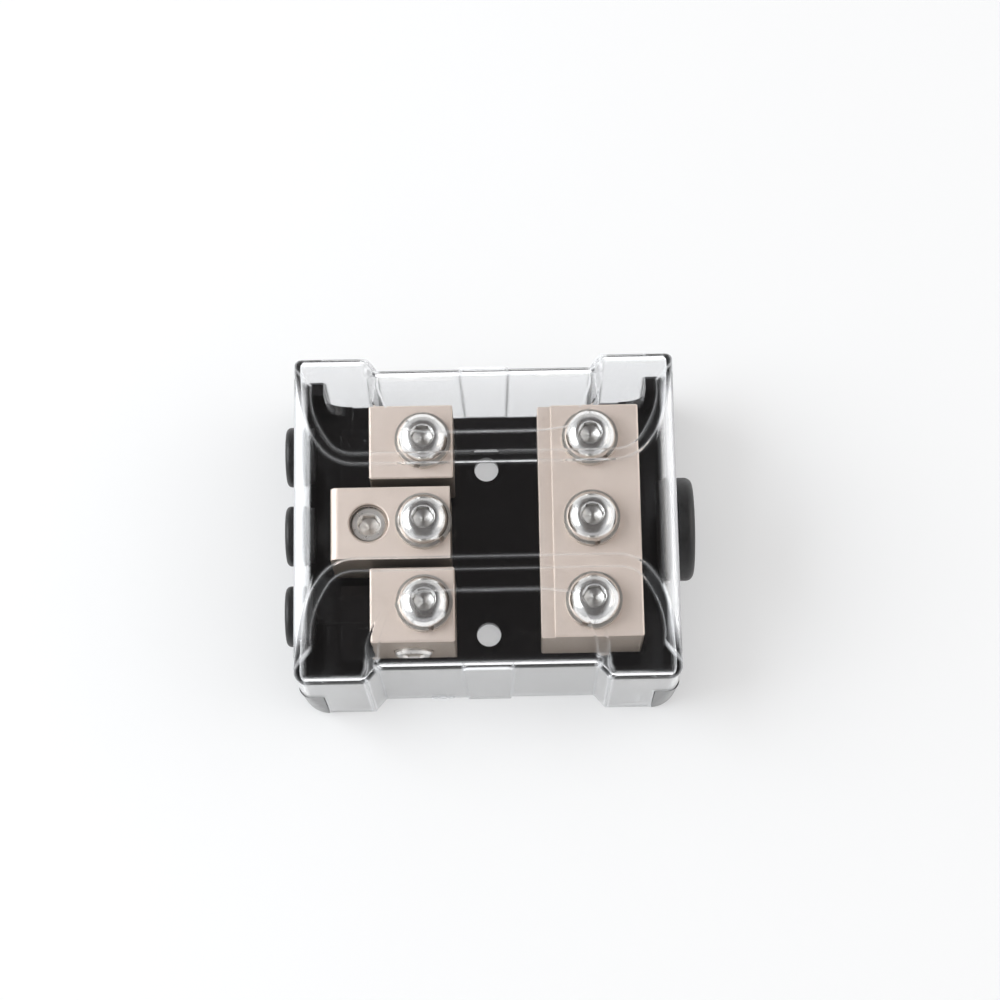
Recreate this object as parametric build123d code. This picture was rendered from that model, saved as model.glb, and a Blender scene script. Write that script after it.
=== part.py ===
"""Fused power distribution block for a vehicle: one heavy input, three fused outputs.

A black moulded base carries three output terminal blocks on the left and one input bar
on the right. Each pair of button-head bolts holds one flat bolt-down fuse. Rubber
grommets sit half in the base's end walls and half in the clear cover, which lifts off.
X runs from the outputs to the input, Y to the back, Z up, and the origin is under the
middle of the base. All sizes are in millimetres.
"""
import os
from math import asin, cos, radians, sin, sqrt, tan

from build123d import *

# Housing
end_room_left = 7.9         # from the base's left foot to the middle output block
end_room_right = 8.15       # from the input bar to the base's right foot
side_room = 9.25            # from the corner blocks to the towers' faces
base_wall_lean = 0.8        # how far each end wall leans in from foot to top
cover_step = 1.0            # each end of the cover stands this far inside the base's foot
foot_corner = 6.0           # corner radius in plan, at the base's foot
housing_corner = 2.2        # and from the parting line up
parting_height = 19.0       # top of the base's end walls, where the cover sits
fit_gap = 0.2               # between the cover's skirt and the base

# Base moulding
floor_thickness = 3.0
ledge_drop = 1.0            # the floor steps down along the front and back
ledge_room = 1.55           # from the corner blocks to that step
end_wall = 2.4
inside_corner = 2.0         # of the end walls, in plan
post_length = 6.0           # along X, from the base's foot
web_thickness = 2.2
web_sweep = 5.0             # radius of the curve from post to floor
pad_height = 12.0           # top of the raised pads that carry the metal
pad_setback = 1.1           # the left pads end this far inside the middle block's left face
mark_diameter = 3.4         # round moulding marks on the two corner pads
mark_depth = 0.3
mark_inset = 3.4            # from the pad's left end to a mark's centre

# Mounting holes on the centre line
mount_spacing = 36.4
mount_hole = 5.2
mount_recess = 8.0
mount_recess_depth = 1.0

# Cover moulding
cover_wall = 1.2
cover_room = 6.1            # from the bolt heads up to the top of the raised plate
plate_rise = 0.8
plate_bevel = 2.4           # width of the sloping edge round the plate
plate_half_depth = 12.3     # foot of that edge, from the middle
plate_corner_in = 9.2       # from the cover's end to where the waist's line would meet the flare's
plate_sweep = 6.8           # radius of the curve between them
plate_flare = 50.0          # angle of the flare
plate_skirt = 2.1           # how far the plate's edge slopes on down past the flat
shoulder_radius = 3.0
tower_crown = 53.8          # radius of the towers' sloping tops
middle_crown = 41.0         # radius of the slope between them
middle_recess = 2.7         # the middle stands this far behind the towers
scoop_half_outer = 24.4     # half width of that recess at the towers' face
scoop_half_inner = 22.0     # and at the middle's own face
scoop_start = 16.5          # where the recess runs out on the top
scoop_curve = (             # how its width grows from there to the middle's face
    (0.0, 0.5),
    (0.05, 0.74),
    (0.13, 0.81),
    (0.3, 0.88),
    (0.53, 0.96),
    (0.72, 1.0),
    (0.86, 1.0),
    (1.0, 1.0),
)
end_edge_radius = 4.5
skirt_bottom = 0.8
latch_half_top = 5.1
latch_half_bottom = 4.5
latch_top = 33.4
latch_round = 1.2
latch_proud = 0.4

# Terminals
fuse_spacing = 34.6         # between the two bolts of one fuse
row_pitch = 17.15
block_height = 17.0
cable_height = 19.0
corner_block_length = 17.35
middle_block_length = 24.7
block_gap = 1.8
corner_block_width = 15.6
bolt_edge = 6.2             # from an output bolt to its block's inner face
middle_edge = 5.45
block_round = 1.7
edge_break = 0.3
output_bore = 7.2
corner_bore_depth = 12.5
middle_bore_depth = 20.0
input_width = 20.9
input_length = 48.9
input_bolt_edge = 10.8      # from an input bolt to the bar's inner face
input_bore = 10.8
input_bore_depth = 17.0
rebate_width = 2.8
rebate_depth = 1.2

# Fuse bolts, M6 button head, with split washers
bolt_thread = 5.9
bolt_length = 5.6           # thread below the head
bolt_head = 10.5
bolt_head_height = 3.3
bolt_rim = 0.6
bolt_flat = 2.5             # radius of the flat on top of the dome
thread_gap = 0.15
tapped_depth = 4.2
hex_size = 4.0
bolt_hex_depth = 2.1
washer_outer = 11.6
washer_bore = 6.3
washer_thickness = 1.6
washer_split = 1.1

# Cable clamp screws, M8 socket set screws
set_thread = 7.7
set_length = 5.0
set_chamfer = 0.45
set_hex_depth = 2.6
middle_set_recess = 1.3
middle_set_from_end = 7.9   # from the middle block's left face
corner_set_from_end = 8.5
input_set_length = 8.0
input_set_from_end = 8.0
tip_gap = 0.1               # between a backed-out tip and the cable bore
input_boss = 13.0
input_boss_drop = 7.0
access_hole = 9.0
mouth_chamfer = 0.25
socket_lead = 0.3           # the bevel round a hex socket's mouth
socket_point = 1.1          # the drill's point under it

# Screws from below that hold the metal to the base
hold_thread = 3.9
hold_head = 8.0
hold_head_height = 2.6
hold_pocket = 8.6
hold_web = 3.0              # base plastic under each pad's top
hold_reach = 2.8            # thread inside the metal
hold_slot = 0.9
hold_pitch_input = 24.0     # between the two screws of the input bar

# Grommets
output_grommet = 12.6
output_groove = 10.6
output_grommet_bore = 8.4
input_grommet = 21.6
input_groove = 18.4
input_grommet_bore = 13.8
output_lip = 2.1            # thickness of the outer lips
input_lip = 3.3
inner_lip = 1.4
inner_lip_step = 0.5        # the inner lip is this much smaller in radius
groove_slack = 0.05
cover_slack = 0.3

# Worked out from the above
output_reach = middle_block_length - middle_edge
input_reach = input_width - input_bolt_edge
base_length = end_room_left + output_reach + fuse_spacing + input_reach + end_room_right
cover_length = base_length - 2 * cover_step
post_edge = base_length / 2 - post_length
plate_corner = cover_length / 2 - plate_corner_in
block_edge = row_pitch + corner_block_width / 2
half_depth = block_edge + side_room
housing_depth = 2 * half_depth
ledge_start = block_edge + ledge_room
middle_half = half_depth - middle_recess
metal_top = pad_height + block_height
head_seat = metal_top + washer_thickness
cover_top = head_seat + bolt_head_height + cover_room
low_top = cover_top - plate_rise
bolt_x_left = end_room_left + output_reach - base_length / 2
bolt_x_right = bolt_x_left + fuse_spacing
corner_inner = bolt_x_left + bolt_edge
corner_left = corner_inner - corner_block_length
middle_inner = bolt_x_left + middle_edge
middle_left = middle_inner - middle_block_length
middle_block_width = 2 * (row_pitch - corner_block_width / 2 - block_gap)
input_inner = bolt_x_right - input_bolt_edge
input_outer = input_inner + input_width
pad_left = middle_left + pad_setback
middle_set_x = middle_left + middle_set_from_end
corner_set_x = corner_left + corner_set_from_end
input_set_x = input_outer - input_set_from_end
ledge_top = floor_thickness - ledge_drop
wall_at_top = base_length / 2 - base_wall_lean
wall_inside = base_length / 2 - end_wall
lip_level = (cable_height - input_grommet / 2) / parting_height
lip_start = base_length / 2 - base_wall_lean * lip_level + groove_slack
rows = {"front": -row_pitch, "middle": 0.0, "back": row_pitch}


def cylinder(radius, x, y, z_low, z_high):
    """An upright cylinder between two heights."""
    return Pos(x, y, (z_low + z_high) / 2) * Cylinder(radius, z_high - z_low)


def along_x(radius, y, z, x_low, x_high):
    """A cylinder lying along X."""
    return Pos((x_low + x_high) / 2, y, z) * Rot(0, 90, 0) * Cylinder(radius, x_high - x_low)


def along_y(radius, x, z, y_low, y_high):
    """A cylinder lying along Y."""
    return Pos(x, (y_low + y_high) / 2, z) * Rot(90, 0, 0) * Cylinder(radius, y_high - y_low)


def block(x_low, x_high, y_low, y_high, z_low, z_high):
    """A box between two corners."""
    middle = Pos((x_low + x_high) / 2, (y_low + y_high) / 2, (z_low + z_high) / 2)
    return middle * Box(x_high - x_low, y_high - y_low, z_high - z_low)


def hex_prism(size, depth):
    """A hexagonal socket, centred on the origin and reaching down from it."""
    face = RegularPolygon(radius=size / 2, side_count=6, major_radius=False)
    return extrude(face, amount=-depth)


def mirrored(points):
    """Close a right-hand outline by repeating it on the left, in reverse."""
    return points + [(-x, y) for x, y in reversed(points)]


# Plan outlines

def rounded_plan(length, inset):
    """The housing's rounded rectangle, drawn in by an inset."""
    return RectangleRounded(length - 2 * inset, housing_depth - 2 * inset, housing_corner - inset)


def recess_shift(inset):
    """How far the recess's inner corners move out for a wall drawn in by an inset."""
    run = scoop_half_outer - scoop_half_inner
    slant = sqrt(run ** 2 + middle_recess ** 2)
    return inset * (slant - run) / middle_recess


def recess_plan(inset):
    """What the thumb recesses take out of the plan, for a wall drawn in by an inset."""
    run = scoop_half_outer - scoop_half_inner
    shift = recess_shift(inset)
    near = middle_half - inset
    far = half_depth + run
    widen = run * (far - near) / middle_recess
    corners = mirrored([
        (scoop_half_inner + shift, near),
        (scoop_half_inner + shift + widen, far),
    ])
    half = make_face(Polyline(*corners, close=True))
    return half + mirror(half, about=Plane.XZ)


def skirt_plan(inset):
    """The cover's plan with its recessed middle."""
    return rounded_plan(cover_length, inset) - recess_plan(inset)


# The cover's surfaces

def crown_profile(half, crown, inset, rise):
    """Flat top, gentle crown, round shoulder and upright wall, seen along X."""
    top = low_top + rise - inset
    bend = shoulder_radius - inset
    reach = crown - inset
    wall = half - inset
    bend_y = wall - bend
    run = bend_y - plate_half_depth
    drop = sqrt((reach - bend) ** 2 - run ** 2)
    bend_z = top - reach + drop
    lean = asin(run / (reach - bend))
    half_lean = lean / 2
    turn = (lean + radians(90)) / 2
    crown_mid = (plate_half_depth + reach * sin(half_lean), top - reach + reach * cos(half_lean))
    crown_end = (plate_half_depth + reach * sin(lean), top - reach + reach * cos(lean))
    bend_mid = (bend_y + bend * sin(turn), bend_z + bend * cos(turn))

    def side(sign):
        def at(point):
            return (sign * point[0], point[1])
        return [
            ThreePointArc(at((plate_half_depth, top)), at(crown_mid), at(crown_end)),
            ThreePointArc(at(crown_end), at(bend_mid), at((wall, bend_z))),
            Line(at((wall, bend_z)), at((wall, 0))),
        ]

    lines = [Line((-plate_half_depth, top), (plate_half_depth, top)), Line((-wall, 0), (wall, 0))]
    return make_face(Curve() + lines + side(1) + side(-1))


def crown_height(y, half, crown):
    """Height of that profile at a distance from the middle."""
    bend_y = half - shoulder_radius
    run = min(y, bend_y) - plate_half_depth
    if y <= bend_y:
        return low_top - crown + sqrt(crown ** 2 - run ** 2)
    arm = crown - shoulder_radius
    bend_z = low_top - crown + sqrt(arm ** 2 - run ** 2)
    over = min(y, half) - bend_y
    return bend_z + sqrt(max(shoulder_radius ** 2 - over ** 2, 0))


def crowned_bar(half, crown, inset, rise):
    """The crown profile run along the whole cover."""
    profile = Plane.YZ * crown_profile(half, crown, inset, rise)
    return extrude(profile, amount=cover_length / 2 + 1, both=True)


def end_profile(inset, rise):
    """Upright ends with a large round top edge, seen along Y."""
    width = cover_length - 2 * inset
    height = low_top + rise - inset
    face = Pos(0, height / 2) * Rectangle(width, height)
    top_corners = face.vertices().sort_by(Axis.Y)[-2:]
    return fillet(top_corners, end_edge_radius - inset)


def ended_bar(inset, rise):
    """The end profile run through the whole depth."""
    return extrude(Plane.XZ * end_profile(inset, rise), amount=half_depth + 1, both=True)


def scoop_section(y, width):
    """The recess seen along Y: its sides slope from the towers' tops to the middle's."""
    high = crown_height(y, half_depth, tower_crown)
    low = crown_height(y, middle_half, middle_crown)
    inner = scoop_half_inner * width
    outer = scoop_half_outer * width
    over_x = (outer - inner) / 2
    over_z = (high - low) / 2
    outline = mirrored([
        (inner - over_x, low - over_z),
        (outer + over_x, high + over_z),
        (outer + over_x, cover_top + 5),
    ])
    return Plane.XZ.offset(-y) * make_face(Polyline(*outline, close=True))


def scoop_tool():
    """The dip in the top between the towers, down to below the middle's own crown."""
    run = middle_half - scoop_start
    sections = [scoop_section(scoop_start + run * along, width) for along, width in scoop_curve]
    sections.append(scoop_section(half_depth - 0.1, 1.0))
    half = loft(sections, ruled=True)
    return half + mirror(half, about=Plane.XZ)


def plate_outline(level):
    """The raised plate in plan, at a height above the low top: a waist that flares at the ends."""
    spread = plate_bevel / plate_rise * level
    waist = plate_half_depth - spread
    bend = plate_sweep + spread
    flare = radians(plate_flare)
    corner = plate_corner + spread / 4
    start = (corner - bend * tan(flare / 2), waist)
    middle = (start[0] + bend * sin(flare / 2), waist + bend * (1 - cos(flare / 2)))
    leave = (start[0] + bend * sin(flare), waist + bend * (1 - cos(flare)))
    side = cover_length
    side_y = leave[1] + (side - leave[0]) * tan(flare)
    edges = []
    for sy in (1, -1):
        edges.append(Line((-start[0], sy * waist), (start[0], sy * waist)))
        for sx in (1, -1):
            def at(point):
                return (sx * point[0], sy * point[1])
            edges.append(ThreePointArc(at(start), at(middle), at(leave)))
            edges.append(Line(at(leave), at((side, side_y))))
    for sx in (1, -1):
        edges.append(Line((sx * side, -side_y), (sx * side, side_y)))
    return Pos(0, 0, low_top + level) * make_face(Curve() + edges)


def plate_tool(inset):
    """The plate's edge: it slopes at the plate's bevel, and stands upright further down."""
    foot = plate_outline(-plate_skirt)
    slope = loft([foot, plate_outline(plate_rise + cover_wall + 1)], ruled=True)
    drop = inset * sqrt(1 + (plate_rise / plate_bevel) ** 2)
    return Pos(0, 0, -drop) * (slope + extrude(foot, amount=-low_top))


def cover_solid(inset):
    """The cover's outer form, or its cavity when drawn in by the wall."""
    plan = extrude(skirt_plan(inset), amount=cover_top + 1)
    full = extrude(rounded_plan(cover_length, inset), amount=cover_top + 1)
    towers = crowned_bar(half_depth, tower_crown, inset, 0) & ended_bar(inset, 0) & plan
    middle = crowned_bar(middle_half, middle_crown, inset, 0) & ended_bar(inset, 0)
    dip = Pos(0, 0, -inset) * scoop_tool() - middle
    high = crowned_bar(half_depth, tower_crown, inset, plate_rise) & ended_bar(inset, plate_rise)
    return (towers - dip) + (high & full & plan & plate_tool(inset))


def latch_ribs():
    """The flat-topped rib at the middle of the front and back walls."""
    face = make_face(Polyline(*mirrored([
        (latch_half_bottom, skirt_bottom),
        (latch_half_top, latch_top),
    ]), close=True))
    face = fillet(face.vertices().sort_by(Axis.Y)[-2:], latch_round)
    rib = extrude(Plane.XZ * face, amount=middle_half + latch_proud, both=True)
    inner = middle_half - cover_wall
    return rib - block(-base_length, base_length, -inner, inner, -1, cover_top)


def make_cover():
    shell = cover_solid(0) + latch_ribs()
    shell = shell - cover_solid(cover_wall)
    tall = half_depth + 1
    shell = shell - block(-base_length, base_length, -tall, tall, -1, skirt_bottom)
    for sign in (-1, 1):
        edges = sorted((sign * post_edge, sign * base_length))
        shell = shell - block(edges[0], edges[1], -tall, tall, -1, parting_height)
    for y in rows.values():
        notch = output_groove / 2 + cover_slack
        shell = shell - along_x(notch, y, cable_height, -base_length, -post_edge)
    notch = input_groove / 2 + cover_slack
    return shell - along_x(notch, 0, cable_height, post_edge, base_length)


# The base

def base_ends(inset):
    """The plan of the base's two ends, beyond the cover's skirt."""
    whole = RectangleRounded(base_length - 2 * inset, housing_depth - 2 * inset, inside_corner)
    inner = Rectangle(2 * (post_edge + fit_gap), 2 * housing_depth)
    return whole - inner


def base_envelope():
    """The base's outside: the end walls lean in and their corners sharpen on the way up."""
    foot = RectangleRounded(base_length, housing_depth, foot_corner)
    top = RectangleRounded(2 * wall_at_top, housing_depth, housing_corner)
    return loft([foot, Pos(0, 0, parting_height) * top], ruled=True)


def corner_webs():
    """A thin web beside each corner post that sweeps down to the floor."""
    outer_y = half_depth - cover_wall - fit_gap
    start = post_edge + fit_gap
    foot = start - web_sweep
    rise = floor_thickness + web_sweep
    end = base_length / 2 - end_wall
    outline = Curve() + [
        Line((foot, 0), (end, 0)),
        Line((end, 0), (end, parting_height)),
        Line((end, parting_height), (start, parting_height)),
        Line((start, parting_height), (start, rise)),
        ThreePointArc(
            (start, rise),
            (start - web_sweep * (1 - sqrt(0.5)), rise - web_sweep * sqrt(0.5)),
            (foot, floor_thickness)),
        Line((foot, floor_thickness), (foot, 0)),
    ]
    web = Pos(0, -(outer_y - web_thickness), 0) * extrude(Plane.XZ * make_face(outline), amount=web_thickness)
    pair = web + mirror(web, about=Plane.XZ)
    return pair + mirror(pair, about=Plane.YZ)


def pads():
    """Raised pads: one under each output block and one under the input bar."""
    group = []
    for name, y in rows.items():
        width = middle_block_width if name == "middle" else corner_block_width
        group.append(block(pad_left, corner_inner, y - width / 2, y + width / 2, 0, pad_height))
    half = input_length / 2
    group.append(block(input_inner, input_outer, -half, half, 0, pad_height))
    return group


def hold_points():
    """Where the screws from below reach each piece of metal, and which piece it is."""
    points = {}
    for name, y in rows.items():
        left = middle_left if name == "middle" else corner_left
        inner = middle_inner if name == "middle" else corner_inner
        points["output_" + name] = ((left + inner) / 2, y)
    points["input_front"] = (bolt_x_right, -hold_pitch_input / 2)
    points["input_back"] = (bolt_x_right, hold_pitch_input / 2)
    return points


def make_base():
    inside = skirt_plan(cover_wall + fit_gap) & Rectangle(2 * (post_edge + fit_gap), housing_depth)
    floor_plan = inside + base_ends(0)
    body = extrude(floor_plan, amount=floor_thickness)
    wall_plan = base_ends(0) - base_ends(end_wall)
    body = body + extrude(wall_plan, amount=parting_height) + corner_webs()
    for pad in pads():
        body = body + pad
    tall = half_depth + 1
    for sign in (-1, 1):
        edges = sorted((sign * ledge_start, sign * tall))
        ledge = block(-post_edge + web_sweep, post_edge - web_sweep, edges[0], edges[1],
                      ledge_top, parting_height)
        body = body - ledge
    body = body & base_envelope()
    for y in rows.values():
        notch = output_groove / 2 + groove_slack
        body = body - along_x(notch, y, cable_height, -base_length, -post_edge)
    notch = input_groove / 2 + groove_slack
    body = body - along_x(notch, 0, cable_height, post_edge, base_length)
    for y in (-mount_spacing / 2, mount_spacing / 2):
        body = body - cylinder(mount_hole / 2, 0, y, -1, floor_thickness + 1)
        recess_low = floor_thickness - mount_recess_depth
        body = body - cylinder(mount_recess / 2, 0, y, recess_low, floor_thickness + 1)
    for y in (rows["front"], rows["back"]):
        mark_y = y + (corner_block_width / 2 - mark_diameter / 2 - 1) * (1 if y > 0 else -1)
        low = pad_height - mark_depth
        body = body - cylinder(mark_diameter / 2, pad_left + mark_inset, mark_y, low, pad_height + 1)
    for x, y in hold_points().values():
        body = body - cylinder(hold_pocket / 2, x, y, -1, pad_height - hold_web)
        body = body - cylinder(hold_thread / 2 + fit_gap, x, y, -1, pad_height + 1)
    boss_low = pad_height - input_boss_drop
    body = body - cylinder(input_boss / 2 + fit_gap, input_set_x, 0, boss_low, pad_height + 1)
    return body - cylinder(access_hole / 2, input_set_x, 0, -1, pad_height)


# Terminals

def broken_edges(solid):
    """Take the sharpness off the long top and side edges of a terminal."""
    tops = solid.edges().filter_by(lambda e: abs(e.center().Z - metal_top) < 0.01)
    corners = solid.edges().filter_by(Axis.Z)
    return chamfer(tops + corners, edge_break)


def fuse_hole(x, y):
    """The tapped hole for a fuse bolt."""
    return cylinder(bolt_thread / 2 + thread_gap, x, y, metal_top - tapped_depth, metal_top + 1)


def hold_hole(x, y):
    """The tapped hole for a screw from below."""
    top = pad_height + hold_reach + fit_gap
    return cylinder(hold_thread / 2 + fit_gap / 4, x, y, pad_height - 1, top)


def hex_socket(depth):
    """A hexagonal socket with its bevelled mouth and the drill's point, reaching down from the origin."""
    across = hex_size / 2
    mouth = Cone(across + socket_lead / 2, across + 1.5 * socket_lead, socket_lead)
    lead = Pos(0, 0, -socket_lead / 2) * mouth
    point = Pos(0, 0, -depth - socket_point / 2) * Cone(0, across, socket_point)
    return hex_prism(hex_size, depth) + lead + point


def clamp_mouth(radius):
    """A clamp screw's hole mouth, widening upwards at the origin."""
    return Pos(0, 0, -mouth_chamfer / 2) * Cone(radius, radius + mouth_chamfer, mouth_chamfer)


def make_corner_block(y):
    side = 1 if y > 0 else -1
    half = corner_block_width / 2
    solid = broken_edges(block(corner_left, corner_inner, y - half, y + half, pad_height, metal_top))
    solid = solid - along_x(output_bore / 2, y, cable_height, corner_left - 1,
                            corner_left + corner_bore_depth)
    clamp_radius = set_thread / 2 + thread_gap
    face = y + side * half
    ends = sorted((y, face + side))
    solid = solid - along_y(clamp_radius, corner_set_x, cable_height, ends[0], ends[1])
    mouth = Pos(corner_set_x, face, cable_height) * Rot(-90 * side, 0, 0) * clamp_mouth(clamp_radius)
    hold = hold_points()["output_back" if y > 0 else "output_front"]
    return solid - mouth - fuse_hole(bolt_x_left, y) - hold_hole(*hold)


def make_middle_block():
    half = middle_block_width / 2
    solid = block(middle_left, middle_inner, -half, half, pad_height, metal_top)
    left_top = solid.edges().filter_by(Axis.Y).group_by(Axis.Z)[-1].sort_by(Axis.X)[0]
    solid = fillet(left_top, block_round)
    solid = solid - along_x(output_bore / 2, 0, cable_height, middle_left - 1,
                            middle_left + middle_bore_depth)
    clamp_radius = set_thread / 2 + thread_gap
    solid = solid - cylinder(clamp_radius, middle_set_x, 0, cable_height, metal_top + 1)
    mouth = Pos(middle_set_x, 0, metal_top) * clamp_mouth(clamp_radius)
    return solid - mouth - fuse_hole(bolt_x_left, 0) - hold_hole(*hold_points()["output_middle"])


def make_input_bar():
    half = input_length / 2
    solid = broken_edges(block(input_inner, input_outer, -half, half, pad_height, metal_top))
    step = block(input_inner - 1, input_inner + rebate_width, -half - 1, half + 1,
                 metal_top - rebate_depth, metal_top + 1)
    solid = solid - step
    boss_low = pad_height - input_boss_drop
    solid = solid + cylinder(input_boss / 2, input_set_x, 0, boss_low, pad_height + 1)
    solid = solid - along_x(input_bore / 2, 0, cable_height, input_outer - input_bore_depth,
                            input_outer + 1)
    solid = solid - cylinder(set_thread / 2 + thread_gap, input_set_x, 0, boss_low - 1, cable_height)
    for y in rows.values():
        solid = solid - fuse_hole(bolt_x_right, y)
    for name in ("input_front", "input_back"):
        solid = solid - hold_hole(*hold_points()[name])
    return solid


# Fasteners

def make_fuse_bolt(x, y):
    """A button-head socket bolt, seated on its split washer."""
    rim = bolt_head / 2
    bulge = (rim + bolt_flat) / 2 + 0.45
    bulge_z = bolt_rim + (bolt_head_height - bolt_rim) * 0.67
    outline = Curve() + [
        Line((0, -bolt_length), (bolt_thread / 2, -bolt_length)),
        Line((bolt_thread / 2, -bolt_length), (bolt_thread / 2, 0)),
        Line((bolt_thread / 2, 0), (rim, 0)),
        Line((rim, 0), (rim, bolt_rim)),
        ThreePointArc((rim, bolt_rim), (bulge, bulge_z), (bolt_flat, bolt_head_height)),
        Line((bolt_flat, bolt_head_height), (0, bolt_head_height)),
        Line((0, bolt_head_height), (0, -bolt_length)),
    ]
    solid = revolve(Plane.XZ * make_face(outline), Axis.Z)
    solid = solid - Pos(0, 0, bolt_head_height) * hex_socket(bolt_hex_depth)
    return Pos(x, y, head_seat) * solid


def make_lock_washer(x, y, turn):
    """A split spring washer, squeezed flat; its split looks forward and is turned a little."""
    ring = Cylinder(washer_outer / 2, washer_thickness) - Cylinder(washer_bore / 2, washer_thickness)
    cut = Box(washer_split, washer_outer, 3 * washer_thickness)
    ring = ring - Pos(0, -washer_outer / 2, 0) * Rot(0, 20, 0) * cut
    return Pos(x, y, metal_top + washer_thickness / 2) * Rot(0, 0, turn) * ring


def make_set_screw(length):
    """A socket set screw standing on its tip, with its socket end at the origin."""
    solid = Pos(0, 0, -length / 2) * Cylinder(set_thread / 2, length)
    solid = chamfer(solid.edges().filter_by(GeomType.CIRCLE), set_chamfer)
    return solid - hex_socket(set_hex_depth)


def place_set_screws():
    """The four clamp screws, each backed out until its tip clears the cable bore."""
    bore_edge = output_bore / 2 + tip_gap
    screws = {}
    for name in ("front", "back"):
        side = 1 if name == "back" else -1
        outer = rows[name] + side * (bore_edge + set_length)
        place = Pos(corner_set_x, outer, cable_height) * Rot(-90 * side, 0, 0)
        screws["set_screw_" + name] = place * make_set_screw(set_length)
    top = metal_top - middle_set_recess
    screws["set_screw_middle"] = Pos(middle_set_x, 0, top) * make_set_screw(set_length)
    low = cable_height - input_bore / 2 - tip_gap - input_set_length
    screws["set_screw_input"] = Pos(input_set_x, 0, low) * Rot(180, 0, 0) * make_set_screw(input_set_length)
    return screws


def make_hold_screw(x, y):
    """A pan-head screw that holds a terminal to its pad from below."""
    seat = pad_height - hold_web
    head = cylinder(hold_head / 2, x, y, seat - hold_head_height, seat)
    low_edge = head.edges().filter_by(GeomType.CIRCLE).sort_by(Axis.Z)[0]
    head = fillet(low_edge, hold_head_height / 3)
    slot = Pos(x, y, seat - hold_head_height) * Box(hold_slot, hold_head * 0.55, hold_head_height)
    cross = Pos(x, y, seat - hold_head_height) * Box(hold_head * 0.55, hold_slot, hold_head_height)
    shank = cylinder(hold_thread / 2, x, y, seat, pad_height + hold_reach)
    return head - slot - cross + shank


# Grommets

def make_grommet(side, y, outer, groove, bore, lip):
    """A rubber ring that grips the end wall in its groove."""
    wall_in = wall_inside - groove_slack
    lip_in = wall_in - inner_lip
    inner_edge = outer / 2 - inner_lip_step
    grommet_reach = lip_start + lip
    bulge = lip / 2
    round_start = lip_start + bulge
    outline = Curve() + [
        Line((bore / 2, lip_in), (inner_edge, lip_in)),
        Line((inner_edge, lip_in), (inner_edge, wall_in)),
        Line((inner_edge, wall_in), (groove / 2, wall_in)),
        Line((groove / 2, wall_in), (groove / 2, lip_start)),
        Line((groove / 2, lip_start), (outer / 2, lip_start)),
        Line((outer / 2, lip_start), (outer / 2, round_start)),
        ThreePointArc((outer / 2, round_start),
                      (outer / 2 - bulge * (1 - sqrt(0.5)), grommet_reach - bulge * (1 - sqrt(0.5))),
                      (outer / 2 - bulge, grommet_reach)),
        Line((outer / 2 - bulge, grommet_reach), (bore / 2, grommet_reach)),
        Line((bore / 2, grommet_reach), (bore / 2, lip_in)),
    ]
    solid = revolve(make_face(outline), Axis.Y)
    return Pos(0, y, cable_height) * Rot(0, 0, -90 * side) * solid


def build_parts():
    parts = {"base": make_base(), "cover": make_cover()}
    parts["output_block_middle"] = make_middle_block()
    parts["input_bar"] = make_input_bar()
    turns = iter((12, -25, 40, 8, -14, 30))
    for name, y in rows.items():
        if name != "middle":
            parts["output_block_" + name] = make_corner_block(y)
        for end, x in (("output", bolt_x_left), ("input", bolt_x_right)):
            parts["fuse_bolt_" + end + "_" + name] = make_fuse_bolt(x, y)
            parts["lock_washer_" + end + "_" + name] = make_lock_washer(x, y, next(turns))
        parts["grommet_output_" + name] = make_grommet(
            -1, y, output_grommet, output_groove, output_grommet_bore, output_lip)
    parts["grommet_input"] = make_grommet(
        1, 0, input_grommet, input_groove, input_grommet_bore, input_lip)
    parts.update(place_set_screws())
    for name, point in hold_points().items():
        parts["hold_screw_" + name] = make_hold_screw(*point)
    return parts


os.makedirs("parts", exist_ok=True)
for node, shape in build_parts().items():
    export_step(shape, "parts/" + node + ".step")
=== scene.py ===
# %% [markdown]
# # Fused power distribution block
#
# One heavy supply cable goes in on the right of this block, and three fused cables
# come out on the left. A black moulded base carries plated terminals, and a clear
# cover snaps over them.
#
# The shapes come ready-made from the mechanical model. This lesson gives each piece
# its finish, adds the screw threads and a moulding mark, and then sets up a studio
# and a camera. Everything is in metres, with Z up.

from math import cos, pi, radians, sin

import bpy
from mathutils import Matrix, Vector


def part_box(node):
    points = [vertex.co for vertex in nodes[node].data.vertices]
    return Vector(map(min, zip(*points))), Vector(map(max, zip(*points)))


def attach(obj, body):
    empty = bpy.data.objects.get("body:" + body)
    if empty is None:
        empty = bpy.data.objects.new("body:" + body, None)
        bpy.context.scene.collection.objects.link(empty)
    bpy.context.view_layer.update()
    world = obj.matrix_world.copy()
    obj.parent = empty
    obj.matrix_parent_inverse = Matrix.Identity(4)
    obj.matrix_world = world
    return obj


MM = 0.001

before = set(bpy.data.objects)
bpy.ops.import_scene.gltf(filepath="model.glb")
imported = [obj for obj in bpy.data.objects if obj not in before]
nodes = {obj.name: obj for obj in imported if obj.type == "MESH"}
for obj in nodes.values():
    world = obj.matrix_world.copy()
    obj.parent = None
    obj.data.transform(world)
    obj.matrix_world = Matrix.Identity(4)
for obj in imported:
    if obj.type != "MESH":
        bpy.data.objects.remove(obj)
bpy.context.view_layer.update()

# %% [markdown]
# ## Small tools for materials
#
# A finish is a little network of nodes. It could be wired by hand in the shader
# editor, but the same few steps come back in every finish here, so each gets a
# short function. Noise reads the object's own coordinates, which stay on the piece
# when it moves, and its scale is in waves to the metre.


# %% Material tools
def feed(tree, socket, value):
    """Set a socket to a plain value, or link another node's output to it."""
    if isinstance(value, bpy.types.NodeSocket):
        tree.links.new(value, socket)
    else:
        socket.default_value = value


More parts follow.
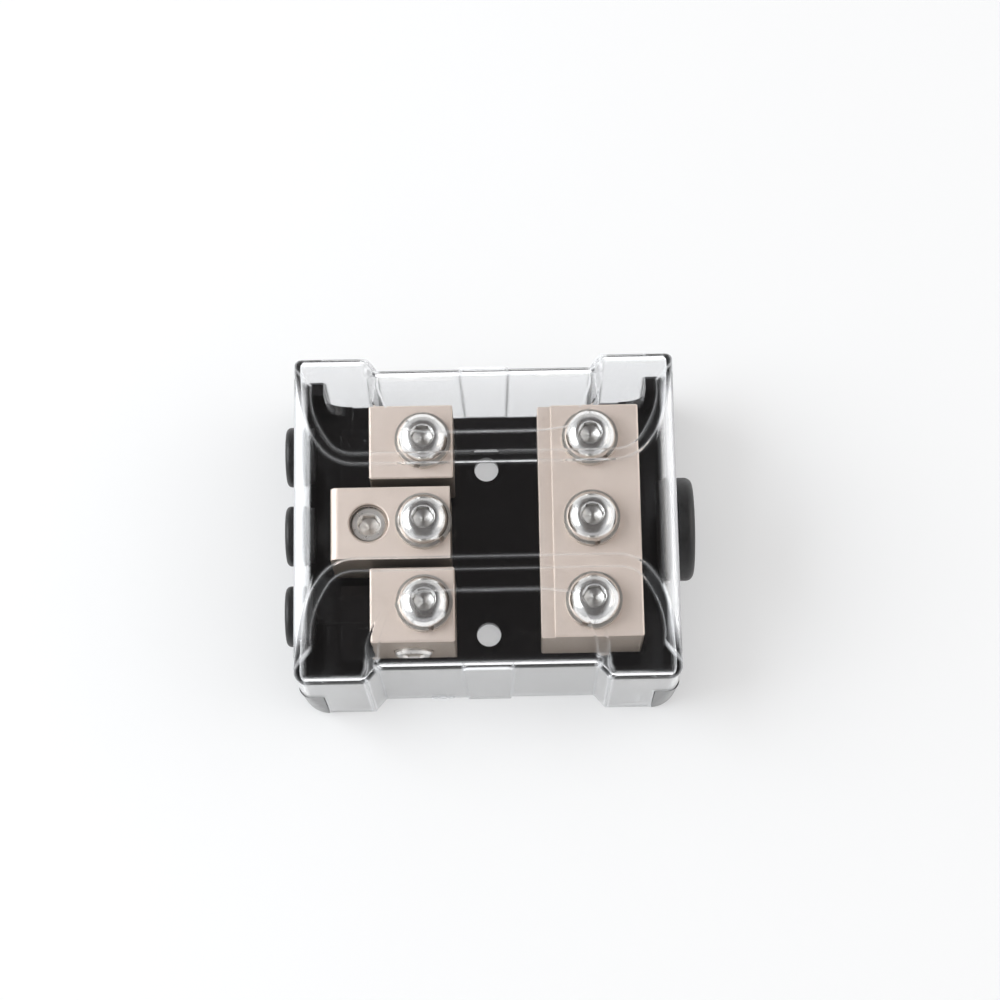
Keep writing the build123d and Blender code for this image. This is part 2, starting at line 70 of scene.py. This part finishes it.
def new_material(name):
    """A node material: returns it with its tree and its principled shader."""
    material = bpy.data.materials.new(name)
    material.use_nodes = True
    tree = material.node_tree
    return material, tree, tree.nodes["Principled BSDF"]


def add_noise(tree, scale, detail=3.0, stretch=(1.0, 1.0, 1.0)):
    """Noise on the object's own coordinates, stretched along the axes."""
    coordinates = tree.nodes.new("ShaderNodeTexCoord")
    mapping = tree.nodes.new("ShaderNodeMapping")
    mapping.inputs["Scale"].default_value = stretch
    noise = tree.nodes.new("ShaderNodeTexNoise")
    noise.inputs["Scale"].default_value = scale
    noise.inputs["Detail"].default_value = detail
    tree.links.new(coordinates.outputs["Object"], mapping.inputs["Vector"])
    tree.links.new(mapping.outputs["Vector"], noise.inputs["Vector"])
    return noise.outputs["Fac"]


def add_range(tree, value, low, high, start=0.3, end=0.7):
    """Map a factor from start..end to low..high. Most noise lies in 0.3 to 0.7."""
    node = tree.nodes.new("ShaderNodeMapRange")
    node.inputs["From Min"].default_value = start
    node.inputs["From Max"].default_value = end
    node.inputs["To Min"].default_value = low
    node.inputs["To Max"].default_value = high
    tree.links.new(value, node.inputs["Value"])
    return node.outputs["Result"]


def add_mix(tree, factor, first, second, kind="RGBA"):
    """Mix two colours, or two numbers with the kind FLOAT, by a factor."""
    node = tree.nodes.new("ShaderNodeMix")
    node.data_type = kind
    feed(tree, node.inputs["Factor"], factor)
    feed(tree, node.inputs["A"], first)
    feed(tree, node.inputs["B"], second)
    return node.outputs["Result"]


def add_bump(tree, value, depth, shader):
    """Raise the surface by a height in metres."""
    node = tree.nodes.new("ShaderNodeBump")
    node.inputs["Distance"].default_value = depth
    tree.links.new(value, node.inputs["Height"])
    tree.links.new(node.outputs["Normal"], shader.inputs["Normal"])
    return node


def soft_edges(tree, radius, *targets):
    """Shade sharp edges as if they were rounded, so that they catch the light."""
    node = tree.nodes.new("ShaderNodeBevel")
    node.samples = 4
    node.inputs["Radius"].default_value = radius
    for target in targets:
        tree.links.new(node.outputs["Normal"], target.inputs["Normal"])
    return node.outputs["Normal"]


def paint(material, names):
    """Give a material to pieces of the model by name."""
    for name in names:
        data = nodes[name].data
        data.materials.clear()
        data.materials.append(material)
    print(material.name, "on", len(names), "pieces")


def named(start):
    """The names of all pieces that begin alike."""
    return [name for name in nodes if name.startswith(start)]


print("material tools ready")

# %% [markdown]
# ## Black moulded base
#
# The base is injection-moulded in glossy black plastic. One flat black would look
# like a hole in the picture. Fine noise varies the black and its gloss a little,
# and slow waves make the surface slightly uneven, as a moulding is, which breaks up
# what it mirrors. The waves are far too shallow to model, so they are bump.

# %% Base plastic
BLACK = (0.006, 0.006, 0.007, 1.0)
BLACK_WORN = (0.012, 0.011, 0.011, 1.0)
BASE_EDGE = 0.4 * MM
WAVE_HEIGHT = 0.02 * MM

base_plastic, tree, shader = new_material("base_plastic")
shader.inputs["IOR"].default_value = 1.5
grain = add_noise(tree, 900.0)
feed(tree, shader.inputs["Base Color"], add_mix(tree, grain, BLACK, BLACK_WORN))
feed(tree, shader.inputs["Roughness"], add_range(tree, grain, 0.1, 0.2))
soft_edges(tree, BASE_EDGE, add_bump(tree, add_noise(tree, 120.0), WAVE_HEIGHT, shader))
paint(base_plastic, ["base"])

# %% [markdown]
# ## Clear cover
#
# The cover is one polycarbonate moulding. It bends the view at every curve, so it
# is a true refracting plastic and not a see-through colour. Faint scratches run
# along it, where the polish is less.
#
# A moulding's edges look white, because light that travels inside the wall leaves
# there. Tracing that light would take very long. So the edges get a painted highlight
# instead, a share of a white, dull finish, wherever the rounded normal turns away from
# the true one, and on the shoulder above both end walls, which is painted to glow all along.


# %% Tools for the cover
def add_math(tree, operation, *values):
    """A sum on factors. Each value is a number or another node's output."""
    node = tree.nodes.new("ShaderNodeMath")
    node.operation = operation
    for socket, value in zip(node.inputs, values):
        feed(tree, socket, value)
    return node.outputs["Value"]


def on_edges(tree, rounded, most):
    """Zero on flat walls, up to a share where the rounded normal turns away, for a painted highlight.
    """
    surface = tree.nodes.new("ShaderNodeNewGeometry")
    product = tree.nodes.new("ShaderNodeVectorMath")
    product.operation = "DOT_PRODUCT"
    tree.links.new(rounded, product.inputs[0])
    tree.links.new(surface.outputs["Normal"], product.inputs[1])
    return add_range(tree, product.outputs["Value"], 0.0, most, 0.995, 0.93)


def split_place(tree, kind):
    """The separate X, Y and Z of a texture coordinate."""
    place = tree.nodes.new("ShaderNodeTexCoord")
    parts = tree.nodes.new("ShaderNodeSeparateXYZ")
    tree.links.new(place.outputs[kind], parts.inputs["Vector"])
    return parts.outputs


def mix_shaders(tree, factor, first, second):
    """Mix two finishes by a factor."""
    node = tree.nodes.new("ShaderNodeMixShader")
    tree.links.new(factor, node.inputs["Fac"])
    tree.links.new(first, node.inputs[1])
    tree.links.new(second, node.inputs[2])
    return node.outputs["Shader"]


print("cover tools ready")

# %% [markdown]
# ### The cover's finish and its painted highlights
#
# The rim's painted highlight rises over about a millimetre near the cover's ends and
# over its round shoulder, and fades before the corners. Light on its way to the
# pieces inside passes straight through a plain transparent shader, because glass
# would throw a full shadow on them.

# %% Cover plastic
CLEAR = (1.0, 1.0, 1.0, 1.0)
CLEAR_BLUISH = (0.985, 0.99, 1.0, 1.0)
# painted highlight: this white dull finish is mixed in at the rim and the edges
PAINTED_HIGHLIGHT_WHITE = (0.97, 0.98, 1.0, 1.0)
SHADE_THROUGH = (0.975, 0.98, 0.985, 1.0)
RIM_PAINTED_HIGHLIGHT = 0.4
RIM_ENDS = (36.0 * MM, 37.2 * MM)
RIM_TOP = (34.5 * MM, 37.5 * MM)
RIM_SIDES = (24.0 * MM, 29.0 * MM)
EDGE_PAINTED_HIGHLIGHT = 0.5
EDGE_REACH = 1.0 * MM
COVER_EDGE = 0.4 * MM

cover_plastic, tree, shader = new_material("cover_plastic")
shader.inputs["IOR"].default_value = 1.56
shader.inputs["Transmission Weight"].default_value = 1.0
haze = add_noise(tree, 60.0, detail=6.0)
feed(tree, shader.inputs["Base Color"], add_mix(tree, haze, CLEAR_BLUISH, CLEAR))
scratches = add_noise(tree, 260.0, detail=2.0, stretch=(0.06, 1.0, 1.0))
feed(tree, shader.inputs["Roughness"], add_range(tree, scratches, 0.0, 0.12, 0.7, 0.76))
soft_edges(tree, COVER_EDGE, shader)

place = split_place(tree, "Object")
# masks that place the painted highlight on the end shoulders and on the edges
near_end = add_range(tree, add_math(tree, "ABSOLUTE", place["X"]), 0.0, 1.0, *RIM_ENDS)
near_top = add_range(tree, place["Z"], 0.0, RIM_PAINTED_HIGHLIGHT, *RIM_TOP)
off_corner = add_range(tree, add_math(tree, "ABSOLUTE", place["Y"]), 1.0, 0.0, *RIM_SIDES)
rim = add_math(tree, "MULTIPLY", add_math(tree, "MULTIPLY", near_end, near_top), off_corner)
edges = on_edges(tree, soft_edges(tree, EDGE_REACH), EDGE_PAINTED_HIGHLIGHT)
# a white diffuse share, mixed into the clear plastic, paints the highlights
painted_highlight = tree.nodes.new("ShaderNodeBsdfDiffuse")
painted_highlight.inputs["Color"].default_value = PAINTED_HIGHLIGHT_WHITE
with_painted_highlight = mix_shaders(tree, add_math(tree, "MAXIMUM", rim, edges),
                       shader.outputs["BSDF"], painted_highlight.outputs["BSDF"])

path = tree.nodes.new("ShaderNodeLightPath")
lighting = add_math(tree, "MAXIMUM", path.outputs["Is Shadow Ray"], path.outputs["Is Diffuse Ray"])
through = tree.nodes.new("ShaderNodeBsdfTransparent")
through.inputs["Color"].default_value = SHADE_THROUGH
finish = mix_shaders(tree, lighting, with_painted_highlight, through.outputs["BSDF"])
feed(tree, tree.nodes["Material Output"].inputs["Surface"], finish)
paint(cover_plastic, ["cover"])

# %% [markdown]
# ## Plated terminals
#
# The blocks and the bar are brass with a satin nickel plate, pale and warm on top.
# Their sides look darker and browner, because they mirror the black base. A plate
# this dull mirrors too little for that, so the sides get a painted shade, a darker
# brown colour, and the normal's Z tells them from the tops. A fine grain drives
# the gloss and a bump of a hundredth of a millimetre, and clouds of a few
# millimetres vary the colour.

# %% Terminal metal
PLATE = (0.8, 0.68, 0.6, 1.0)
PLATE_PALE = (0.9, 0.78, 0.7, 1.0)
# darker brown: painted shade for the sides, which mirror the black base
PLATE_SIDES_PAINTED_SHADE = (0.38, 0.32, 0.27, 1.0)
TERMINAL_EDGE = 0.25 * MM
TERMINAL_GRAIN = 0.012 * MM

terminal_metal, tree, shader = new_material("terminal_metal")
surface = tree.nodes.new("ShaderNodeNewGeometry")
facing = tree.nodes.new("ShaderNodeSeparateXYZ")
tree.links.new(surface.outputs["Normal"], facing.inputs["Vector"])
feed(tree, shader.inputs["Metallic"], add_range(tree, facing.outputs["Z"], 1.0, 0.75, 0.2, 0.9))
grain = add_noise(tree, 2500.0, detail=4.0)
plating = add_mix(tree, add_noise(tree, 150.0, detail=5.0), PLATE, PLATE_PALE)
# painted shade: faces that stand sideways take the darker colour
sideways = add_range(tree, facing.outputs["Z"], 1.0, 0.0, 0.1, 0.6)
feed(tree, shader.inputs["Base Color"], add_mix(tree, sideways, plating, PLATE_SIDES_PAINTED_SHADE))
feed(tree, shader.inputs["Roughness"], add_range(tree, grain, 0.48, 0.6))
soft_edges(tree, TERMINAL_EDGE, add_bump(tree, grain, TERMINAL_GRAIN, shader))
paint(terminal_metal, ["input_bar"] + named("output_block"))

# %% [markdown]
# ## Bolts, washers and screws
#
# All of these are plated steel, and differ in colour and gloss. A metal that is the
# same all over looks like a drawing, so the marks of its polishing vary both.
#
# A socket looks darker than the head round it, because light leaves it only after
# several bounces, and that shade is painted into the colour. It could be painted by its
# place in the head, but six heads stand in six places. An ambient occlusion node finds
# the hollows of any piece by itself, and there the colour darkens as painted shade and the polish
# goes.


# %% Tools for steel
def new_steel(name, marks, metallic=1.0):
    """A metal material, with its tree, its shader and the noise of its polish marks."""
    material, tree, shader = new_material(name)
    shader.inputs["Metallic"].default_value = metallic
    return material, tree, shader, add_noise(tree, marks, detail=4.0)


def shade_hollows(tree, shader, reach, colour, dark, roughness, dull):
    """Paint shade into a piece's own hollows by darkening its colour, and dull the polish there."""
    node = tree.nodes.new("ShaderNodeAmbientOcclusion")
    node.samples = 8
    node.only_local = True
    node.inputs["Distance"].default_value = reach
    coloured = add_range(tree, node.outputs["AO"], 0.0, 1.0, 0.25, 0.85)
    polished = add_range(tree, node.outputs["AO"], 0.0, 1.0, 0.4, 0.9)
    feed(tree, shader.inputs["Base Color"], add_mix(tree, coloured, dark, colour))
    feed(tree, shader.inputs["Roughness"], add_mix(tree, polished, dull, roughness, "FLOAT"))


print("steel tools ready")

# %% [markdown]
# ### Bolts and clamp screws
#
# The button heads are polished bright. The clamp screws are a shade warmer and
# duller, and their sockets are small, so the painted shade in the hollow reaches less far.

# %% Bolt and clamp screw steel
POLISHED = (0.76, 0.75, 0.73, 1.0)
POLISHED_BRIGHT = (0.86, 0.85, 0.83, 1.0)
# dark colour for the painted shade inside a bolt's socket
BOLT_SOCKET_PAINTED_SHADE = (0.4, 0.38, 0.36, 1.0)
SCREW_PLATE = (0.82, 0.78, 0.74, 1.0)
SCREW_PLATE_BRIGHT = (0.95, 0.92, 0.88, 1.0)
# dark colour for the painted shade inside a clamp screw's socket
SCREW_SOCKET_PAINTED_SHADE = (0.42, 0.38, 0.35, 1.0)
BOLT_SOCKET_REACH = 2.5 * MM
SCREW_SOCKET_REACH = 1.6 * MM
BOLT_EDGE = 0.15 * MM
SCREW_EDGE = 0.12 * MM
POLISH_MARKS = 0.01 * MM

bolt_steel, tree, shader, polish = new_steel("bolt_steel", 400.0)
shade_hollows(tree, shader, BOLT_SOCKET_REACH, add_mix(tree, polish, POLISHED, POLISHED_BRIGHT),
              BOLT_SOCKET_PAINTED_SHADE, add_range(tree, polish, 0.18, 0.27), 0.5)
soft_edges(tree, BOLT_EDGE, add_bump(tree, polish, POLISH_MARKS, shader))
paint(bolt_steel, named("fuse_bolt"))

set_screw_steel, tree, shader, polish = new_steel("set_screw_steel", 700.0, metallic=0.8)
shade_hollows(tree, shader, SCREW_SOCKET_REACH, add_mix(tree, polish, SCREW_PLATE, SCREW_PLATE_BRIGHT),
              SCREW_SOCKET_PAINTED_SHADE, add_range(tree, polish, 0.26, 0.36), 0.4)
soft_edges(tree, SCREW_EDGE, add_bump(tree, polish, POLISH_MARKS, shader))
paint(set_screw_steel, named("set_screw"))

# %% [markdown]
# ### Washers and the screws from below
#
# The split washers are spring steel, warmer and duller than the bolts. The screws
# under the base have a zinc plate, which is a cold grey. Neither has a hollow that
# shows, so colour, gloss and a faint bump are enough.

# %% Washer and hold screw steel
WASHER_PLATE = (0.6, 0.56, 0.52, 1.0)
WASHER_PLATE_BRIGHT = (0.72, 0.68, 0.63, 1.0)
ZINC = (0.5, 0.51, 0.53, 1.0)
ZINC_BRIGHT = (0.66, 0.66, 0.66, 1.0)

washer_steel, tree, shader, polish = new_steel("washer_steel", 700.0)
feed(tree, shader.inputs["Base Color"], add_mix(tree, polish, WASHER_PLATE, WASHER_PLATE_BRIGHT))
feed(tree, shader.inputs["Roughness"], add_range(tree, polish, 0.36, 0.46))
add_bump(tree, polish, POLISH_MARKS, shader)
paint(washer_steel, named("lock_washer"))

hold_screw_steel, tree, shader, polish = new_steel("hold_screw_steel", 500.0)
feed(tree, shader.inputs["Base Color"], add_mix(tree, polish, ZINC, ZINC_BRIGHT))
feed(tree, shader.inputs["Roughness"], add_range(tree, polish, 0.28, 0.42))
paint(hold_screw_steel, named("hold_screw"))

# %% [markdown]
# ## Rubber grommets
#
# The grommets are soft black rubber, and next to the glossy base they look greyer
# and duller. That comes from a higher roughness alone. A fine grain keeps the
# broad highlight from looking like paint.

# %% Rubber
RUBBER = (0.008, 0.008, 0.008, 1.0)
RUBBER_DUSTY = (0.02, 0.019, 0.019, 1.0)
RUBBER_GRAIN = 0.02 * MM

rubber, tree, shader = new_material("grommet_rubber")
grain = add_noise(tree, 1200.0, detail=4.0)
feed(tree, shader.inputs["Base Color"], add_mix(tree, grain, RUBBER, RUBBER_DUSTY))
feed(tree, shader.inputs["Roughness"], add_range(tree, grain, 0.35, 0.5))
add_bump(tree, grain, RUBBER_GRAIN, shader)
paint(rubber, named("grommet"))

# %% [markdown]
# ## Gate mark
#
# The cover's front wall has a rough little scar at its lower edge, where the moulding
# was cut from its runner. It could be a bump in the plastic, but a scar stands
# proud of the edge and changes its outline. Three flattened beads of the same
# plastic, sunk half into the wall, make it. They ride on the lid.


# %% Gate mark
GATE_BEADS = ((-11.6, 0.42), (-10.0, 0.5), (-8.2, 0.36))
GATE_WALL = -31.62 * MM
GATE_HEIGHT = 1.35 * MM
BEAD_SQUASH = (2.0, 0.5, 0.8)


def deselect():
    """Clear the selection, so that an operator acts only on what it makes."""
    for other in bpy.context.selected_objects:
        other.select_set(False)


def apply_place():
    """Put the active object's place, turn and size into its mesh."""
    bpy.ops.object.transform_apply(location=True, rotation=True, scale=True)


for across, size in GATE_BEADS:
    deselect()
    bpy.ops.mesh.primitive_uv_sphere_add(segments=16, ring_count=10, radius=size * MM,
                                         location=(across * MM, GATE_WALL, GATE_HEIGHT))
    bead = bpy.context.object
    bead.name = "gate_bead_" + str(round(-10 * across))
    bead.scale = BEAD_SQUASH
    apply_place()
    bpy.ops.object.shade_smooth()
    bead.data.materials.append(cover_plastic)
    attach(bead, "lid")
print("gate mark made of", len(GATE_BEADS), "beads")

# %% [markdown]
# ## Screw threads
#
# The clamp screws are threaded all along, and the mouth of the middle block's hole
# shows its own thread. A bump could fake the ridges, but not their zigzag outline.
# So a thread is a small triangle, swept along a helix by the screw modifier.
#
# A circle of three corners makes the triangle. It is turned so that its point looks
# outwards, or inwards in a hole, and scaled to the thread's depth. A three-cornered
# circle is three quarters of its diameter tall, and its middle lies a third of the
# way from its base to its point.


# %% Thread tool
THREAD_PITCH = 1.25 * MM
STEPS_PER_TURN = 28
TRIANGLE_HEIGHT = 0.75 * THREAD_PITCH
RIDGE_WIDTH = 0.85


def thread_section(name, root, point):
    """The triangle that is swept, with its base at the root radius."""
    deselect()
    bpy.ops.mesh.primitive_circle_add(vertices=3, radius=THREAD_PITCH / 2, fill_type="NGON",
                                      location=(0, 0, 0), rotation=(radians(90), 0, 0))
    section = bpy.context.object
    section.name = name
    apply_place()
    side = 90 if point > root else -90
    height = abs(point - root)
    bpy.ops.object.mode_set(mode="EDIT")
    bpy.ops.mesh.select_all(action="SELECT")
    bpy.ops.transform.rotate(value=radians(side), orient_axis="Y", center_override=(0, 0, 0))
    bpy.ops.transform.resize(value=(height / TRIANGLE_HEIGHT, 1.0, RIDGE_WIDTH),
                             center_override=(0, 0, 0))
    bpy.ops.transform.translate(value=(root + (point - root) / 3, 0, 0))
    bpy.ops.mesh.delete(type="ONLY_FACE")
    bpy.ops.object.mode_set(mode="OBJECT")
    return section


def thread(name, root, point, length, place, turn, body, material):
    """A helical ridge from a root radius to a point radius, closed at both ends."""
    ridge = thread_section(name, root, point)
    screw = ridge.modifiers.new("helix", "SCREW")
    screw.axis = "Z"
    screw.angle = 2 * pi * length / THREAD_PITCH
    screw.screw_offset = length
    screw.steps = int(STEPS_PER_TURN * length / THREAD_PITCH)
    screw.render_steps = screw.steps
    bpy.ops.object.modifier_apply(modifier=screw.name)
    bpy.ops.object.mode_set(mode="EDIT")
    bpy.ops.mesh.select_all(action="SELECT")
    bpy.ops.mesh.fill_holes(sides=4)
    bpy.ops.mesh.select_all(action="SELECT")
    bpy.ops.mesh.normals_make_consistent(inside=False)
    bpy.ops.object.mode_set(mode="OBJECT")
    ridge.rotation_euler = turn
    ridge.location = place
    apply_place()
    bpy.ops.object.shade_smooth()
    ridge.data.materials.append(material)
    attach(ridge, body)


print("thread tool ready")

# %% [markdown]
# ### Where the threads are
#
# Where a clamp screw stands, how long it is and how thick, all comes from its own
# box in the model. Its turn about X says which way it goes in. The thread stops
# short of both ends, where the real screw is chamfered, and its root is sunk into
# the screw, so that no gap shows. It rides on its own screw's body. The thread in
# the mouth of the middle hole is part of the block, so it stays with the housing.

# %% Threads
SCREW_TURNS = {"middle": 180, "front": -90, "back": 90, "input": 0}
END_ROOM = 1.1 * MM
ROOT_SUNK = 0.05 * MM
CREST_PROUD = 0.1 * MM

for name, degrees in SCREW_TURNS.items():
    low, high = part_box("set_screw_" + name)
    turn = (radians(degrees), 0.0, 0.0)
    inwards = Matrix.Rotation(turn[0], 3, "X") @ Vector((0.0, 0.0, 1.0))
    screw_length = abs((high - low).dot(inwards))
    screw_radius = (high.x - low.x) / 2
    outer_end = (low + high) / 2 - inwards * screw_length / 2
    thread("set_screw_thread_" + name, screw_radius - ROOT_SUNK, screw_radius + CREST_PROUD,
           screw_length - 2 * END_ROOM, outer_end + inwards * END_ROOM, turn,
           "clamp_" + name, set_screw_steel)
    print("thread on the", name, "screw, radius", round(screw_radius / MM, 2), "mm")

# %% [markdown]
# ### The thread in the middle hole
#
# The hole is a little wider than its screw. Its ridge looks inwards, so its root is
# outside and its point inside, and a turn or so is all that shows above the screw.

# %% Hole thread
HOLE_CLEARANCE = 0.15 * MM
HOLE_THREAD_DEPTH = 0.22 * MM
HOLE_THREAD_TURNS = 1.1
MOUTH_ROOM = 0.45 * MM

low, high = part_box("set_screw_middle")
block_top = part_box("output_block_middle")[1].z
hole_radius = (high.x - low.x) / 2 + HOLE_CLEARANCE
mouth = Vector(((low.x + high.x) / 2, (low.y + high.y) / 2, block_top - MOUTH_ROOM))
thread("hole_thread_middle", hole_radius + ROOT_SUNK, hole_radius - HOLE_THREAD_DEPTH,
       HOLE_THREAD_TURNS * THREAD_PITCH, mouth, (radians(180), 0.0, 0.0),
       "housing", terminal_metal)
print("thread in the middle hole, radius", round(hole_radius / MM, 2), "mm")

# %% [markdown]
# ## Table
#
# The block stands on a white table that fades out of the picture. A plain white
# plane would come out grey, because it only returns the light that falls on it. So
# a share of its finish gives off white, but not towards the object: rays that
# light a dull surface don't see that share, so it adds no light to the block.
# Seen through the cover, the share is stronger and makes up for the light that the
# plastic keeps back, except straight below, in the two mounting holes, where it is
# weaker as a painted shade inside the holes.

# %% Table
TABLE_GREY = (0.9, 0.9, 0.9, 1.0)
TABLE_WHITE = (0.92, 0.92, 0.92, 1.0)
LIFT_WHITE = (0.98, 0.99, 1.0, 1.0)
TABLE_LIFT = 0.35
THROUGH_COVER = 2.2
# painted shade: a weaker white for the table seen inside the mounting holes
SHADED_IN_HOLES = 1.2
HOLES_WITHIN = (22.0 * MM, 27.0 * MM)
UNDER_BASE = -0.1 * MM

deselect()
bpy.ops.mesh.primitive_plane_add(size=4.0, location=(0, 0, UNDER_BASE))
table = bpy.context.object
table.name = "table"
table_paint, tree, shader = new_material("table_paint")
feed(tree, shader.inputs["Base Color"], add_mix(tree, add_noise(tree, 15.0), TABLE_GREY, TABLE_WHITE))
shader.inputs["Roughness"].default_value = 0.6
shader.inputs["Specular IOR Level"].default_value = 0.2
path = tree.nodes.new("ShaderNodeLightPath")
seen = add_math(tree, "SUBTRACT", 1.0, path.outputs["Is Diffuse Ray"])
where = tree.nodes.new("ShaderNodeTexCoord")
distance = tree.nodes.new("ShaderNodeVectorMath")
distance.operation = "LENGTH"
tree.links.new(where.outputs["Object"], distance.inputs[0])
below_cover = add_range(tree, distance.outputs["Value"], SHADED_IN_HOLES, THROUGH_COVER, *HOLES_WITHIN)
white = tree.nodes.new("ShaderNodeEmission")
white.inputs["Color"].default_value = LIFT_WHITE
feed(tree, white.inputs["Strength"],
     add_mix(tree, path.outputs["Is Transmission Ray"], 1.0, below_cover, "FLOAT"))
lifted = mix_shaders(tree, add_math(tree, "MULTIPLY", seen, TABLE_LIFT),
                     shader.outputs["BSDF"], white.outputs["Emission"])
feed(tree, tree.nodes["Material Output"].inputs["Surface"], lifted)
table.data.materials.append(table_paint)
print("table made,", table_paint.name)

# %% [markdown]
# ## Lights
#
# A large cool softbox stands on the left and throws the soft shadow to the right. A
# weaker, warmer one on the right opens that shadow. A wide fill hangs above. It
# would show as a white square in every bolt head, so it is hidden from reflections
# and from the view through the cover.


# %% Lights
def softbox(name, place, width, height, power, colour):
    """A rectangular light that faces the block."""
    deselect()
    bpy.ops.object.light_add(type="AREA", location=place)
    light = bpy.context.object
    light.name = name
    light.data.shape = "RECTANGLE"
    light.data.size = width
    light.data.size_y = height
    light.data.energy = power
    light.data.color = colour
    light.rotation_euler = (-Vector(place)).to_track_quat("-Z", "Y").to_euler()
    print(name, "gives", power, "watts")
    return light


COOL = (0.95, 0.98, 1.0)
WARM = (1.0, 0.94, 0.87)
WARM_FAINTLY = (1.0, 0.97, 0.94)

softbox("softbox_left", (-0.95, 0.1, 0.65), width=1.0, height=0.8, power=10.2, colour=COOL)
softbox("softbox_right", (1.0, 0.1, 0.5), width=1.0, height=0.7, power=2.4, colour=WARM)
fill = softbox("ceiling_fill", (0.0, 0.0, 1.4), width=1.6, height=1.6, power=7.6, colour=WARM_FAINTLY)
fill.visible_glossy = False
fill.visible_transmission = False

# %% [markdown]
# ## The room
#
# What the glossy black floor and the lid mirror is the room: pale walls, brighter
# at the sides, under a dark ceiling. Without the dark ceiling the black plastic
# would turn grey. The world's direction tells walls, sides and ceiling apart, and a
# camera that looks level sees a plain pale backdrop instead.

# %% World
WALL_FRONT = (0.45, 0.45, 0.47, 1.0)
WALL_BACK = (0.7, 0.7, 0.7, 1.0)
CEILING = (0.08, 0.075, 0.075, 1.0)
SIDE_WALLS = (0.9, 0.92, 0.95, 1.0)
BACKDROP = (0.93, 0.94, 0.95, 1.0)

world = bpy.data.worlds.new("studio")
bpy.context.scene.world = world
world.use_nodes = True
tree = world.node_tree
background = tree.nodes["Background"]
background.inputs["Strength"].default_value = 1.0
way = split_place(tree, "Generated")
walls = add_mix(tree, add_range(tree, way["Y"], 0.0, 1.0, -0.7, 0.5), WALL_FRONT, WALL_BACK)
upwards = add_range(tree, way["Z"], 0.0, 1.0, 0.35, 0.62)
sideways = add_range(tree, add_math(tree, "ABSOLUTE", way["X"]), 0.0, 1.0, 0.4, 0.7)
room = add_mix(tree, sideways, add_mix(tree, upwards, walls, CEILING), SIDE_WALLS)
path = tree.nodes.new("ShaderNodeLightPath")
feed(tree, background.inputs["Color"], add_mix(tree, path.outputs["Is Camera Ray"], room, BACKDROP))
print("room made,", world.name)

# %% [markdown]
# ## Camera
#
# The camera looks down at about seventy-five degrees from the front edge, turned and
# rolled by a degree or two, through a long lens. These values were fitted to the
# block's corners, and the angles are in radians. The camera's three directions are
# worked out from them, and together they make its matrix.

# %% Camera
TILT = 1.3164
TURN = 0.0143
ROLL = -0.0326
DISTANCE = 0.55
TARGET = Vector((2.8919, 8.116, 15.0)) * MM
LENS = 93.54

back = Vector((sin(TURN) * cos(TILT), -cos(TURN) * cos(TILT), sin(TILT)))
right = Vector((cos(TURN), sin(TURN), 0.0))
up = back.cross(right)
right_rolled = cos(ROLL) * right + sin(ROLL) * up
up_rolled = -sin(ROLL) * right + cos(ROLL) * up
directions = Matrix((right_rolled, up_rolled, back)).transposed()

deselect()
bpy.ops.object.camera_add()
camera = bpy.context.object
camera.matrix_world = Matrix.Translation(TARGET + back * DISTANCE) @ directions.to_4x4()
camera.data.lens = LENS
camera.data.sensor_width = 36.0
camera.data.clip_start = 0.01
camera.data.clip_end = 20.0
bpy.context.scene.camera = camera
print("camera at", camera.matrix_world.translation)

# %% [markdown]
# ## Render settings
#
# Light crosses up to a dozen plastic surfaces on its way through the cover and back,
# so it may bend and reflect more often than by default. The plain view transform
# keeps white paper white.

# %% Render settings
scene = bpy.context.scene
scene.view_settings.view_transform = "Standard"
scene.cycles.max_bounces = 20
scene.cycles.transmission_bounces = 16
scene.cycles.transparent_max_bounces = 16
scene.cycles.glossy_bounces = 8
scene.cycles.diffuse_bounces = 4
print("bounces allowed:", scene.cycles.max_bounces)
